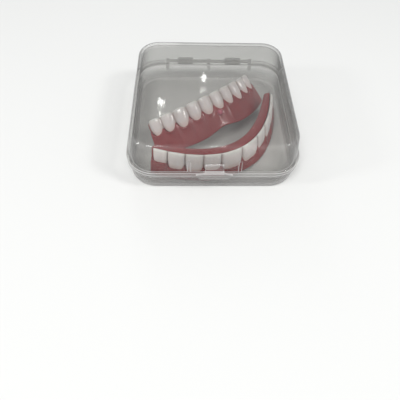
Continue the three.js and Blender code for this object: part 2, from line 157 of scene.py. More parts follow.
def combine(piece, tool, operation):
    """Unites a closed tool with the piece, or takes it out, and keeps the finished mesh."""
    work = piece.modifiers.new("work", "BOOLEAN")
    work.object = tool
    work.operation = operation
    work.solver = "EXACT"
    bpy.context.view_layer.update()
    worked_out = piece.evaluated_get(bpy.context.evaluated_depsgraph_get())
    finished = bpy.data.meshes.new_from_object(worked_out)
    piece.modifiers.clear()
    piece.data = finished
    bpy.data.objects.remove(tool)


def smooth(piece, angle=SHARP_ANGLE):
    """Shades the mesh smooth, with an edge sharp where its faces meet at more than the angle.
    Normals follow the larger faces, so flat walls stay flat beside their rounded edges."""
    piece.data.polygons.foreach_set("use_smooth", np.ones(len(piece.data.polygons), bool))
    piece.data.set_sharp_from_angle(angle=angle)
    weighted = piece.modifiers.new("weighted", "WEIGHTED_NORMAL")
    weighted.keep_sharp = True


def rim_gap():
    """The block taken out of both rims, as wide as the hinge: from the wall's face out past the
    rims, and one rim's thickness and a clearance above and below the parting height."""
    wall_face = BOX_WIDTH / 2 - RIM_OVERHANG
    half_band = RIM_THICKNESS + CLEARANCE
    outline = np.array([
        [wall_face, PARTING_HEIGHT - half_band],
        [wall_face + 2 * RIM_OVERHANG, PARTING_HEIGHT - half_band],
        [wall_face + 2 * RIM_OVERHANG, PARTING_HEIGHT + half_band],
        [wall_face, PARTING_HEIGHT + half_band],
    ])
    return centred_bar(outline, HINGE_WIDTH, 0)


hinge_axis = np.array([HINGE_AXIS_Y, PARTING_HEIGHT])
ear_outline = hinge_axis + np.vstack([
    circle(HINGE_EAR_RADIUS, -60, 90, 13),
    [
        [-CLEARANCE, HINGE_EAR_RADIUS],
        [-CLEARANCE - HINGE_EAR_RADIUS / 2, -CLEARANCE],
        [-HINGE_REACH, -CLEARANCE],
        [-HINGE_REACH, -HINGE_EAR_ROOT_DROP],
        [-HINGE_REACH + ROOT_OVERLAP, -HINGE_EAR_ROOT_DROP],
    ],
])

tray = skin("keeping_box_tray", box_rings(soften(TRAY_PROFILE)))
combine(tray, rim_gap(), "DIFFERENCE")
combine(tray, centred_bar(hinge_axis + circle(HINGE_ROD_RADIUS), HINGE_WIDTH - 2 * CLEARANCE, 0), "UNION")
end_ear = (HINGE_WIDTH - HINGE_EAR_WIDTH) / 2 - CLEARANCE
for ear_x in (-end_ear, 0, end_ear):
    combine(tray, centred_bar(ear_outline, HINGE_EAR_WIDTH, ear_x), "UNION")
smooth(tray)


def linear(colour):
    """Turns an sRGB hex colour to linear red, green, blue and full alpha: c / 12.92 up to 0.04045,
    and ((c + 0.055) / 1.055)^2.4 above it."""
    channels = np.array([int(colour[i:i + 2], 16) for i in (1, 3, 5)]) / 255
    low = channels / 12.92
    high = ((channels + 0.055) / 1.055) ** 2.4
    return (*np.where(channels <= 0.04045, low, high).tolist(), 1.0)


def add_node(material, kind, sockets, **settings):
    """Adds a shader node with its settings, and gives each socket a value or a link. Sockets go by
    name, or by number on Math and Mix nodes: a Mix node's 0 is its share, 6 and 7 its colours."""
    made = material.node_tree.nodes.new(kind)
    for name, value in settings.items():
        setattr(made, name, value)
    for name, value in sockets.items():
        if isinstance(value, bpy.types.NodeSocket):
            material.node_tree.links.new(value, made.inputs[name])
        else:
            made.inputs[name].default_value = value
    return made


def new_material(name):
    """A material with an empty node tree."""
    material = bpy.data.materials.new(name)
    material.use_nodes = True
    material.node_tree.nodes.clear()
    return material


def note_edges(piece):
    """Keeps as "edge" how sharply each face bulges, from 0 to 1 at SHARP_BULGE. A point's bulge is
    the mean of 2 lift / length^2 over its edges, per millimetre, where lift is how far it stands
    above its neighbour along its own normal. A face takes the least bulge of its points, and of
    the mean's lead over it a share of 1 / (1 + area / RIB_FACE), so only small faces take much."""
    mesh = piece.data
    count = len(mesh.vertices)
    point, normal = np.empty(3 * count), np.empty(3 * count)
    ends = np.empty(2 * len(mesh.edges), int)
    mesh.vertices.foreach_get("co", point)
    mesh.vertices.foreach_get("normal", normal)
    mesh.edges.foreach_get("vertices", ends)
    point, normal, ends = point.reshape(-1, 3), normal.reshape(-1, 3), ends.reshape(-1, 2)
    span = point[ends[:, 0]] - point[ends[:, 1]]
    square = np.sum(span**2, axis=1) + 1e-12
    lift = [np.sum(sign * span * normal[end], axis=1) / square for sign, end in zip((1, -1), ends.T)]
    total = np.bincount(ends.T.ravel(), 2 * MM * np.concatenate(lift), count)
    bulge = total / np.maximum(np.bincount(ends.ravel(), minlength=count), 1)
    faces = len(mesh.polygons)
    corner, first, area = np.empty(len(mesh.loops), int), np.empty(faces, int), np.empty(faces)
    mesh.loops.foreach_get("vertex_index", corner)
    mesh.polygons.foreach_get("loop_start", first)
    mesh.polygons.foreach_get("area", area)
    least = np.minimum.reduceat(bulge[corner], first)
    mean = np.add.reduceat(bulge[corner], first) / np.diff(np.append(first, len(corner)))
    face_bulge = least + (mean - least) / (1 + area / (RIB_FACE * MM**2))
    kept = mesh.attributes.new("edge", "FLOAT", "FACE")
    kept.data.foreach_set("value", np.clip(face_bulge / SHARP_BULGE, 0, 1).astype(np.float32))


# Clear polystyrene as it leaves a polished mould, only faintly smoky. Such thin walls hardly bend
# what is seen through them, so light goes straight through, less of it the longer its way in the
# wall. Seen from in front they mirror little, and more the flatter the view. Fine scuffs make
# them a little milky, most of all on the tray's floor and the foot of its walls, where things
# slide about. Sharply bulging faces, the outer edges, ribs and latch, are made milkier still: a
# painted highlight standing in for the bright lines where such edges catch the light. Each power
# says how late towards a flat view the tint, the milkiness and the mirroring set in.
POLYSTYRENE_FLAT = "#fdfdfc"
POLYSTYRENE_SLANT = "#6b6c6b"
POLYSTYRENE_MILK = "#dcdad9"
TINT_POWER = 2.0
LEAST_MIRRORED = 0.03
MIRROR_POWER = 5.0
LEAST_MILKY = 0.025
MOST_MILKY = 0.3
MILK_POWER = 3.0
EDGE_HIGHLIGHT_MILKINESS = 0.55
FLOOR_MILKY = 0.26
FLOOR_WEAR_HEIGHT = 2
SHARP_BULGE = 1
RIB_FACE = 12
LEAST_HIGHLIGHTED_EDGE = 0.12
MOULD_WAVE_MM = 9
MOULD_WAVE_DEPTH_MM = 0.1
SCUFF_MM = 1.6
POLISHED_ROUGHNESS = 0.04
SCUFFED_ROUGHNESS = 0.12

clear_plastic = new_material("clear_polystyrene_moulded")
place = add_node(clear_plastic, "ShaderNodeTexCoord", {}).outputs["Object"]
waves = add_node(
    clear_plastic, "ShaderNodeTexNoise",
    {"Vector": place, "Scale": 1 / (MOULD_WAVE_MM * MM), "Detail": 1.0},
)
wavy = add_node(
    clear_plastic, "ShaderNodeBump",
    {"Height": waves.outputs["Fac"], "Strength": 0.25, "Distance": MOULD_WAVE_DEPTH_MM * MM},
)
scuffs = add_node(
    clear_plastic, "ShaderNodeTexNoise",
    {"Vector": place, "Scale": 1 / (SCUFF_MM * MM), "Detail": 4.0, "Roughness": 0.7},
)
scuffed = add_node(
    clear_plastic, "ShaderNodeMapRange",
    {
        "Value": scuffs.outputs["Fac"],
        "From Min": 0.45,
        "From Max": 0.75,
        "To Min": POLISHED_ROUGHNESS,
        "To Max": SCUFFED_ROUGHNESS,
    },
)
slant = add_node(clear_plastic, "ShaderNodeLayerWeight", {"Blend": 0.5, "Normal": wavy.outputs["Normal"]})
steep = add_node(
    clear_plastic, "ShaderNodeMath",
    {0: slant.outputs["Facing"], 1: MIRROR_POWER},
    operation="POWER",
)
mirrored = add_node(
    clear_plastic, "ShaderNodeMapRange", {"Value": steep.outputs[0], "To Min": LEAST_MIRRORED},
)
milkier = add_node(
    clear_plastic, "ShaderNodeMath",
    {0: slant.outputs["Facing"], 1: MILK_POWER},
    operation="POWER",
)
milkiness = add_node(
    clear_plastic, "ShaderNodeMapRange",
    {"Value": milkier.outputs[0], "To Min": LEAST_MILKY, "To Max": MOST_MILKY},
)
# Painted highlight: sharply bulging faces are made milkier, so they show as bright lines.
edges = add_node(clear_plastic, "ShaderNodeAttribute", {}, attribute_name="edge")
painted_edge_highlight = add_node(
    clear_plastic, "ShaderNodeMapRange",
    {"Value": edges.outputs["Fac"], "From Min": LEAST_HIGHLIGHTED_EDGE, "To Max": EDGE_HIGHLIGHT_MILKINESS},
)
milkiness_and_edge_highlight = add_node(
    clear_plastic, "ShaderNodeMath",
    {0: milkiness.outputs["Result"], 1: painted_edge_highlight.outputs["Result"]},
    operation="ADD",
)
place_in_box = add_node(clear_plastic, "ShaderNodeSeparateXYZ", {"Vector": place})
worn_floor = add_node(
    clear_plastic, "ShaderNodeMapRange",
    {
        "Value": place_in_box.outputs["Z"],
        "From Min": FLOOR_WEAR_HEIGHT * MM,
        "From Max": RIM_UNDERSIDE_HEIGHT * MM,
        "To Min": FLOOR_MILKY,
        "To Max": 0.0,
    },
)
whole_milkiness = add_node(
    clear_plastic, "ShaderNodeMath",
    {0: milkiness_and_edge_highlight.outputs[0], 1: worn_floor.outputs["Result"]},
    operation="ADD",
)
longer_way = add_node(
    clear_plastic, "ShaderNodeMath",
    {0: slant.outputs["Facing"], 1: TINT_POWER},
    operation="POWER",
)
tint = add_node(
    clear_plastic, "ShaderNodeMix",
    {0: longer_way.outputs[0], 6: linear(POLYSTYRENE_FLAT), 7: linear(POLYSTYRENE_SLANT)},
    data_type="RGBA",
)
clear = add_node(clear_plastic, "ShaderNodeBsdfTransparent", {"Color": tint.outputs[2]})
milk = add_node(clear_plastic, "ShaderNodeBsdfDiffuse", {"Color": linear(POLYSTYRENE_MILK)})
shine = add_node(
    clear_plastic, "ShaderNodeBsdfAnisotropic",
    {"Roughness": scuffed.outputs["Result"], "Normal": wavy.outputs["Normal"]},
)
wall = add_node(
    clear_plastic, "ShaderNodeMixShader",
    {0: whole_milkiness.outputs[0], 1: clear.outputs[0], 2: milk.outputs[0]},
)
skinned = add_node(
    clear_plastic, "ShaderNodeMixShader",
    {0: mirrored.outputs["Result"], 1: wall.outputs[0], 2: shine.outputs[0]},
)
add_node(clear_plastic, "ShaderNodeOutputMaterial", {"Surface": skinned.outputs[0]})

note_edges(tray)
tray.data.materials.append(clear_plastic)
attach(tray, "box_tray")
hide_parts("tray")


# The lid is moulded in the same clear polystyrene. Its walls lean in to a crown with a large soft
# edge. It has two short ribs and a thumb latch at the front, and two open clips at the back that
# snap over the tray's rod.

LID_DRAFT = 2.2
LID_EDGE_RADIUS = 2.4
LID_RIM_BOTTOM = PARTING_HEIGHT + CLEARANCE / 2
LID_RIM_TOP = LID_RIM_BOTTOM + RIM_THICKNESS
HINGE_CLIP_WIDTH = 8
HINGE_CLIP_SPACING = 25
HINGE_CLIP_MOUTH_ANGLE = 100
LATCH_TAB_WIDTH = 15.8
LATCH_TAB_FOOT_WIDTH = 12.5
LATCH_TAB_HEIGHT = 4.2
LATCH_TAB_DEPTH = 0.7
LATCH_STEM_WIDTH = 8
LATCH_STEM_HEIGHT = 4.4
LATCH_STEM_DEPTH = 0.8
RIB_SPACING = 21
RIB_WIDTH = 1.7
RIB_HEIGHT = 6
RIB_DEPTH = 0.5
PAD_BEVEL = 0.4

# From the ceiling down the inner wall, under the rim and up the outer wall to the flat crown.
LID_PROFILE = np.array([
    [8, BOX_HEIGHT - BOX_WALL, 0],
    [RIM_OVERHANG + LID_DRAFT + BOX_WALL, BOX_HEIGHT - BOX_WALL, LID_EDGE_RADIUS - BOX_WALL],
    [RIM_OVERHANG + BOX_WALL, LID_RIM_BOTTOM, SOFT_EDGE],
    [0, LID_RIM_BOTTOM, SOFT_EDGE],
    [0, LID_RIM_TOP, SOFT_EDGE],
    [RIM_OVERHANG, LID_RIM_TOP, SOFT_EDGE],
    [RIM_OVERHANG + LID_DRAFT, BOX_HEIGHT, LID_EDGE_RADIUS],
    [6.5, BOX_HEIGHT, 0],
])


def clip_outline():
    """An open ring about the rod: the outer arc there and the inner arc back, mouth downwards."""
    start = -90 + HINGE_CLIP_MOUTH_ANGLE / 2
    end = 270 - HINGE_CLIP_MOUTH_ANGLE / 2
    outer = circle(CLIP_OUTER_RADIUS, start, end, 28)
    inner = circle(HINGE_ROD_RADIUS + CLEARANCE, end, start, 28)
    return hinge_axis + np.vstack([outer, inner])


def front_pad(outline, face, slope, back, proud):
    """A pad on the front of the lid. Its outline of (x, z) is repeated at the depth back and a bevel
    short of proud, then drawn towards its middle by the bevel on the front face. Depth counts
    forward from the plane y = face + slope (z - rim top)."""
    middle = (outline.max(axis=0) + outline.min(axis=0)) / 2
    half = np.ptp(outline, axis=0) / 2
    drawn_in = middle + (outline - middle) * (1 - PAD_BEVEL / half)
    plans = np.stack([outline, outline, drawn_in])
    depth = np.array([back, proud - PAD_BEVEL, proud])[:, None]
    y = face + slope * (plans[..., 1] - LID_RIM_TOP) - depth
    return skin("front_pad", np.stack([plans[..., 0], y, plans[..., 1]], axis=-1))


def wall_pad(width, height, proud, x):
    """A round-topped pad that stands on the rim and follows the leaning front wall."""
    slope = LID_DRAFT / (BOX_HEIGHT - LID_EDGE_RADIUS - LID_RIM_TOP)
    outline = soften_loop(np.array([
        [x - width / 2, LID_RIM_TOP - ROOT_OVERLAP],
        [x + width / 2, LID_RIM_TOP - ROOT_OVERLAP],
        [x + width / 2, LID_RIM_TOP + height],
        [x - width / 2, LID_RIM_TOP + height],
    ]), 0.8 * RIB_WIDTH / 2)
    return front_pad(outline, -BOX_WIDTH / 2 + RIM_OVERHANG, slope, -ROOT_OVERLAP, proud)


def latch_tab():
    """The thumb tab, a six-sided pad in front of both rims."""
    foot = RIM_UNDERSIDE_HEIGHT
    top = foot + LATCH_TAB_HEIGHT
    outline = soften_loop(np.array([
        [-LATCH_TAB_FOOT_WIDTH / 2, foot],
        [LATCH_TAB_FOOT_WIDTH / 2, foot],
        [LATCH_TAB_WIDTH / 2, LID_RIM_TOP],
        [LATCH_STEM_WIDTH / 2, top],
        [-LATCH_STEM_WIDTH / 2, top],
        [-LATCH_TAB_WIDTH / 2, LID_RIM_TOP],
    ]), 2 * SOFT_EDGE)
    return front_pad(outline, -BOX_WIDTH / 2, 0, CLEARANCE, CLEARANCE + LATCH_TAB_DEPTH)


def latch_root():
    """The block that joins the tab to the lid's rim and wall."""
    front = -BOX_WIDTH / 2 - CLEARANCE - PAD_BEVEL / 2
    back = -BOX_WIDTH / 2 + RIM_OVERHANG + ROOT_OVERLAP
    top = RIM_UNDERSIDE_HEIGHT + LATCH_TAB_HEIGHT
    outline = np.array([[front, LID_RIM_BOTTOM], [back, LID_RIM_BOTTOM], [back, top], [front, top]])
    return centred_bar(outline, LATCH_STEM_WIDTH, 0)


clip_web = hinge_axis + np.array([
    [-HINGE_REACH, CLEARANCE],
    [-HINGE_ROD_RADIUS - CLEARANCE, CLEARANCE],
    [-HINGE_ROD_RADIUS - CLEARANCE, CLIP_OUTER_RADIUS],
    [-HINGE_REACH, CLIP_OUTER_RADIUS],
])

lid = skin("keeping_box_lid", box_rings(soften(LID_PROFILE)))
combine(lid, rim_gap(), "DIFFERENCE")
combine(lid, latch_root(), "UNION")
combine(lid, wall_pad(LATCH_STEM_WIDTH, LATCH_STEM_HEIGHT, LATCH_STEM_DEPTH, 0), "UNION")
combine(lid, latch_tab(), "UNION")
for side in (-1, 1):
    combine(lid, wall_pad(RIB_WIDTH, RIB_HEIGHT, RIB_DEPTH, side * RIB_SPACING / 2), "UNION")
    combine(lid, centred_bar(clip_outline(), HINGE_CLIP_WIDTH, side * HINGE_CLIP_SPACING / 2), "UNION")
    combine(lid, centred_bar(clip_web, HINGE_CLIP_WIDTH, side * HINGE_CLIP_SPACING / 2), "UNION")
smooth(lid)
note_edges(lid)

lid.data.materials.append(clear_plastic)
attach(lid, "box_lid")
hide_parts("lid")


# The upper veneer's gum is one thin moulding in red plastic. A flange lies over the wearer's gum,
# a backing stands behind the crowns, and a roof and a tongue side hook over the wearer's teeth.
# Its upper edge is scalloped round the necks of the crowns.

STEPS_PER_TOOTH = 20
END_MARGIN = 0.9
BACKING_THICKNESS = 0.9
CHANNEL_WIDTH = 2.8
TONGUE_SIDE_THICKNESS = 0.9
TONGUE_SIDE_HEIGHT = 3.6
ROOF_THICKNESS = 0.9
ROOF_FALL = 1
FLANGE_THICKNESS = 1.3
FRENUM_NOTCH_HALF_WIDTH = 6
GUM_ROLL = 0.3
GUM_END_MARGIN = 0.2
LIP_SHARE = 0.86
VENEER_END_ROUNDING = 0.5
VENEER_SHARP_ANGLE = np.radians(70)

# Sizes in millimetres and angles in degrees. The five teeth run from the middle to the end, each
# with its width as a share of half the arch, its crown as a share of the height and its fullness
# in millimetres. Flatness and the two sharpnesses are powers across a tooth.
UPPER = {
    "half_width": 32.3, "depth": 19.99, "height": 13, "end_lift": 0, "frenum_lift": 1,
    "flare": 3.4, "splay": 0.1, "papilla_depth": 5.4,
    "teeth": np.array([
        [0.244, 0.692, 1.9],
        [0.195, 0.631, 1.7],
        [0.2, 0.662, 2],
        [0.195, 0.638, 1.9],
        [0.166, 0.48, 1.8],
    ]),
    "groove": 0.55, "flatness": 8, "papilla_sharpness": 6, "edge_notch": 0.3, "roof_setback": 0.3,
    "root_swell": 0.2, "end_taper": 0.4, "gap_shade_sharpness": 11,
    "turn": 32.5, "lean": 0, "roll": 0, "place": (0.933, -8.42, 1.5),
}


def arch_at(veneer, t):
    """The arch in plan, x = half width (2t - 1) and y = -4 depth t (1 - t), with t from 0 to 1."""
    x = veneer["half_width"] * (2 * t - 1)
    y = -4 * veneer["depth"] * t * (1 - t)
    return np.stack([x, y], axis=-1)


def arch_run(veneer):
    """Fine steps of t, and the length along the arch up to each, the sum of its chords."""
    t = np.linspace(0, 1, 4001)
    chords = np.diff(arch_at(veneer, t), axis=0)
    return t, np.concatenate([[0], np.cumsum(np.hypot(chords[:, 0], chords[:, 1]))])


def half_run(veneer):
    """Half the arch's length."""
    return arch_run(veneer)[1][-1] / 2


def arch(veneer, along):
    """The arch's point and its way out, square to it, at each length along it, counted from the
    middle and positive to the left: t is read off the running length."""
    steps, run = arch_run(veneer)
    t = np.interp(run[-1] / 2 - along, run, steps)
    way_out = np.stack([-2 * veneer["depth"] * (1 - 2 * t), np.full_like(t, -veneer["half_width"])], axis=-1)
    return arch_at(veneer, t), way_out / np.linalg.norm(way_out, axis=1, keepdims=True)


def stops(veneer, steps=STEPS_PER_TOOTH):
    """Stops from one end of the arch to the other, as columns: the length along, which is the
    tooth's start plus its width times (across + 1) / 2, how far across its tooth from -1 to 1, and
    the tooth's crown height and fullness. One half is worked out and mirrored."""
    run = half_run(veneer) - END_MARGIN
    width, crown, fullness = veneer["teeth"].T
    width = width * run
    across = np.linspace(-1, 1, steps, endpoint=False)
    start = np.concatenate([[0], np.cumsum(width)[:-1]])
    along = start[:, None] + width[:, None] * (across + 1) / 2
    columns = [along, np.broadcast_to(across, along.shape)]
    columns += [np.broadcast_to(c[:, None], along.shape) for c in (crown * veneer["height"], fullness)]
    half = np.stack([c.ravel() for c in columns], axis=-1)
    end = half[-1].copy()
    end[:2] = np.sum(width), 1
    half = np.vstack([half, end])
    mirrored = half[1:][::-1] * np.array([-1, -1, 1, 1])
    return np.vstack([mirrored, half]).T


def lay(veneer, along, outward, height):
    """Stands sections of (outward, height) on the arch, each point outward by its own measure and
    the splay for each millimetre below the top. Then rolls them about Y, leans them about X, turns
    them about Z and moves them to where the veneer lies in the box."""
    point, way_out = arch(veneer, along)
    reach = outward + veneer["splay"] * (veneer["height"] - height)
    plan = point[:, None] + way_out[:, None] * reach[..., None]
    upright = np.concatenate([plan, height[..., None]], axis=-1)
    turn, lean, roll = np.radians([veneer["turn"], veneer["lean"], veneer["roll"]])
    about_z = np.array([[np.cos(turn), -np.sin(turn), 0], [np.sin(turn), np.cos(turn), 0], [0, 0, 1]])
    about_x = np.array([[1, 0, 0], [0, np.cos(lean), -np.sin(lean)], [0, np.sin(lean), np.cos(lean)]])
    about_y = np.array([[np.cos(roll), 0, np.sin(roll)], [0, 1, 0], [-np.sin(roll), 0, np.cos(roll)]])
    return upright @ (about_z @ about_x @ about_y).T + np.array(veneer["place"])


def round_off(section, rounds):
    """Cuts the corners of closed sections (stops, points, 2): each round puts two points on every
    side, a quarter and three quarters of the way along."""
    for _ in range(rounds):
        ahead = np.roll(section, -1, axis=1)
        cut = np.stack([0.75 * section + 0.25 * ahead, 0.25 * section + 0.75 * ahead], axis=2)
        section = cut.reshape(section.shape[0], -1, section.shape[2])
    return section


def rounded_ends(rings, reach):
    """Adds five rings beyond each end: they go on by reach times the sine of an angle and shrink
    about their middle by its cosine, from 0 to nearly 90 degrees."""
    angle = np.radians([20, 40, 58, 74, 84])[:, None, None]
    ends = []
    for edge, inner in ((rings[0], rings[1]), (rings[-1], rings[-2])):
        middle = edge.mean(axis=0)
        onward = middle - inner.mean(axis=0)
        onward = onward / np.linalg.norm(onward)
        ends.append(middle + (edge - middle) * np.cos(angle) + reach * onward * np.sin(angle))
    return np.concatenate([ends[0][::-1], rings, ends[1]])


def crown_thickness(veneer, across, fullness):
    """A crown's thickness across it: groove + (fullness - groove)(1 - |across|^flatness)."""
    return veneer["groove"] + (fullness - veneer["groove"]) * (1 - np.abs(across) ** veneer["flatness"])


def neck_height(veneer, across, crown):
    """Height of the neck line: (height - crown) at a crown's middle, rising with a power of
    |across| to the papilla between two crowns."""
    rise = np.abs(across) ** veneer["papilla_sharpness"]
    return (veneer["height"] - crown) * (1 - rise) + (veneer["height"] - veneer["papilla_depth"]) * rise


def gum_rings(veneer):
    """The gum's closed section at each stop, foot first: up the flange over the swell of the root
    to the margin, up the backing, over the roof, down the tongue side and back inside. Each corner
    is a pair (outward, height) in millimetres, and the corners are then rounded off. The foot rises
    by end lift (along / half)^4 and by frenum lift exp(-(along / notch)^2), the swell is root swell
    (1 - across^2)^2, and the channel narrows by end taper |along / half|^3."""
    along, across, crown, fullness = stops(veneer)
    half_length = half_run(veneer)
    along = along * (half_length - GUM_END_MARGIN) / along[-1]
    foot = veneer["end_lift"] * (along / half_length) ** 4
    foot = foot + veneer["frenum_lift"] * np.exp(-((along / FRENUM_NOTCH_HALF_WIDTH) ** 2))
    margin = neck_height(veneer, across, crown)
    lip = CLEARANCE + crown_thickness(veneer, across, fullness) * LIP_SHARE
    roof = np.full_like(margin, veneer["height"] - veneer["roof_setback"])
    swell = veneer["root_swell"] * (1 - across**2) ** 2
    even_lip = np.full_like(margin, np.mean(lip))
    flare = np.full_like(margin, veneer["flare"])
    taper = 1 - veneer["end_taper"] * np.abs(along / half_length) ** 3
    back = -(BACKING_THICKNESS + CHANNEL_WIDTH + TONGUE_SIDE_THICKNESS) * taper
    inner_foot = veneer["height"] - crown
    inner_roof = roof - ROOF_FALL
    tongue_foot = inner_roof - TONGUE_SIDE_HEIGHT
    zero = np.zeros_like(margin)
    rise = margin - foot
    outward_height = [
        (flare - FLANGE_THICKNESS, foot + 0.5),
        (flare - FLANGE_THICKNESS * 0.9, foot),
        (flare - 0.15, foot),
        (flare, foot + 0.5),
        (flare * 0.8 + even_lip * 0.2 + swell * 0.5, foot + rise * 0.25),
        (flare * 0.5 + even_lip * 0.5 + swell, foot + rise * 0.55),
        (0.6 * even_lip + 0.4 * lip + GUM_ROLL + swell * 0.6, margin - 1.1),
        (lip + GUM_ROLL + 0.05, margin - 0.4),
        (lip + GUM_ROLL * 0.4, margin),
        (lip - 0.35, margin + 0.05),
        (zero + 0.1, margin),
        (zero, margin + 0.4),
        (zero, roof - 0.4),
        (zero - 0.4, roof),
        (back + 0.4, inner_roof),
        (back, inner_roof - 0.4),
        (back, tongue_foot + 0.2),
        (back + 0.2, tongue_foot),
        (back + TONGUE_SIDE_THICKNESS * taper - 0.2, tongue_foot),
        (back + TONGUE_SIDE_THICKNESS * taper, tongue_foot + 0.2),
        (back + TONGUE_SIDE_THICKNESS * taper, inner_roof - ROOF_THICKNESS),
        (zero - BACKING_THICKNESS, roof - ROOF_THICKNESS),
        (zero - BACKING_THICKNESS, inner_foot),
        (zero - BACKING_THICKNESS * 0.4 + (flare - FLANGE_THICKNESS) * 0.4, inner_foot * 0.55),
    ]
    section = np.stack([np.stack(pair, axis=-1) for pair in outward_height], axis=1)
    section = round_off(section, 2)
    rings = lay(veneer, along, section[..., 0], section[..., 1])
    return rounded_ends(rings, VENEER_END_ROUNDING)


# Gum-red moulded plastic: a deep, slightly see-into red with a polished skin. It is mottled over a
# few millimetres and lightly stippled, like an orange's peel, at under a millimetre.
GUM_DEEP = "#6c0a12"
GUM_PALE = "#8d1820"
GUM_MOTTLE_MM = 5
GUM_STIPPLE_MM = 0.8
GUM_STIPPLE_DEPTH_MM = 0.05
GUM_GLOSSIEST = 0.14
GUM_DULLEST = 0.32
GUM_LIGHT_DEPTH_MM = 0.8

gum_plastic = new_material("gum_red_plastic_moulded")
place = add_node(gum_plastic, "ShaderNodeTexCoord", {}).outputs["Object"]
mottle = add_node(
    gum_plastic, "ShaderNodeTexNoise",
    {"Vector": place, "Scale": 1 / (GUM_MOTTLE_MM * MM), "Detail": 3.0, "Roughness": 0.6},
)
gum_colour = add_node(
    gum_plastic, "ShaderNodeMix",
    {0: mottle.outputs["Fac"], 6: linear(GUM_DEEP), 7: linear(GUM_PALE)},
    data_type="RGBA",
)
stipple = add_node(
    gum_plastic, "ShaderNodeTexVoronoi",
    {"Vector": place, "Scale": 1 / (GUM_STIPPLE_MM * MM)},
    feature="SMOOTH_F1",
)
stippled = add_node(
    gum_plastic, "ShaderNodeBump",
    {"Height": stipple.outputs["Distance"], "Strength": 0.2, "Distance": GUM_STIPPLE_DEPTH_MM * MM},
)
gum_gloss = add_node(
    gum_plastic, "ShaderNodeMapRange",
    {"Value": mottle.outputs["Fac"], "To Min": GUM_GLOSSIEST, "To Max": GUM_DULLEST},
)
gum_shader = add_node(
    gum_plastic, "ShaderNodeBsdfPrincipled",
    {
        "Base Color": gum_colour.outputs[2],
        "Roughness": gum_gloss.outputs["Result"],
        "IOR": 1.5,
        "Subsurface Weight": 0.12,
        "Subsurface Radius": (1.0, 0.25, 0.2),
        "Subsurface Scale": GUM_LIGHT_DEPTH_MM * MM,
        "Normal": stippled.outputs["Normal"],
    },
)
add_node(gum_plastic, "ShaderNodeOutputMaterial", {"Surface": gum_shader.outputs[0]})

upper_gum = skin("upper_veneer_gum", gum_rings(UPPER))
smooth(upper_gum, VENEER_SHARP_ANGLE)
upper_gum.data.materials.append(gum_plastic)
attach(upper_gum, "box_tray")
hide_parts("upper_gum")


# The upper veneer's crowns are one moulding in off-white plastic, ten teeth in a row with a groove
# between each two. Each crown is fullest below a third of its height from the neck and thins to
# its biting edge.

LOBE_DEPTH = 0.05

# A crown's section from the back of its neck round the front: the thickness and the rise as shares.
CROWN_PROFILE = np.array([
    [0.0, -0.04],
    [0.6, -0.06],
    [0.86, -0.03],
    [0.95, 0.06],
    [1.0, 0.2],
    [1.0, 0.34],
    [0.97, 0.5],
    [0.9, 0.66],
    [0.8, 0.8],
    [0.68, 0.91],
    [0.56, 0.975],
    [0.42, 1.0],
    [0.26, 1.0],
    [0.0, 0.97],
])


def crown_rings(veneer):
    """The crowns' closed section at each stop: thickness times the profile's share outward, and
    from the neck line to the biting edge upward. Between crowns the edge dips by notch |across|^4,
    and lobes of depth cos(3 pi across) (1 - across^2) leave two shallow hollows up each face. Gives
    the rings, and at each point its rise and its nearness to a gap, a power of |across|."""
    along, across, crown, fullness = stops(veneer)
    neck = neck_height(veneer, across, crown)
    edge = veneer["height"] - veneer["edge_notch"] * np.abs(across) ** 4
    thickness = crown_thickness(veneer, across, fullness)
    thickness = thickness - LOBE_DEPTH * np.cos(3 * np.pi * across) * (1 - across**2)
    outward = CLEARANCE * 0.5 + thickness[:, None] * CROWN_PROFILE[:, 0]
    height = neck[:, None] + (edge - neck)[:, None] * CROWN_PROFILE[:, 1]
    rise = np.broadcast_to(np.clip(CROWN_PROFILE[:, 1], 0, 1), outward.shape)
    section = round_off(np.stack([outward, height, rise], axis=-1), 2)
    rings = lay(veneer, along, section[..., 0], section[..., 1])
    ended = rounded_ends(rings, VENEER_END_ROUNDING)
    added = (len(ended) - len(rings)) // 2
    # The nearness to a gap sets how much painted shade between crowns the material puts there.
    gap = np.broadcast_to(np.abs(across)[:, None] ** veneer["gap_shade_sharpness"], section.shape[:2])
    rise_at = np.pad(section[..., 2], ((added, added), (0, 0)), mode="edge")
    gap_at = np.pad(gap, ((added, added), (0, 0)), mode="edge")
    return ended, rise_at, gap_at


# Off-white moulded plastic, made to look like enamel: a little pink at the neck, where the gum
# shows through, paler along the crown and greyer at the biting edge. Near the grooves between crowns
# it is darkened to a grey, a painted shade where the crowns shade each other. It has a soft shine,
# and light goes a little way in.
TOOTH_NECK = "#d0b4ae"
TOOTH_BODY = "#d5cccb"
TOOTH_EDGE = "#d3d0cd"
TOOTH_GAP_SHADE = "#a49591"
TOOTH_CLOUD_MM = 2.5
TOOTH_CLOUD_DEPTH_MM = 0.06
TOOTH_GLOSSIEST = 0.1
TOOTH_DULLEST = 0.2
TOOTH_LIGHT_DEPTH_MM = 0.9

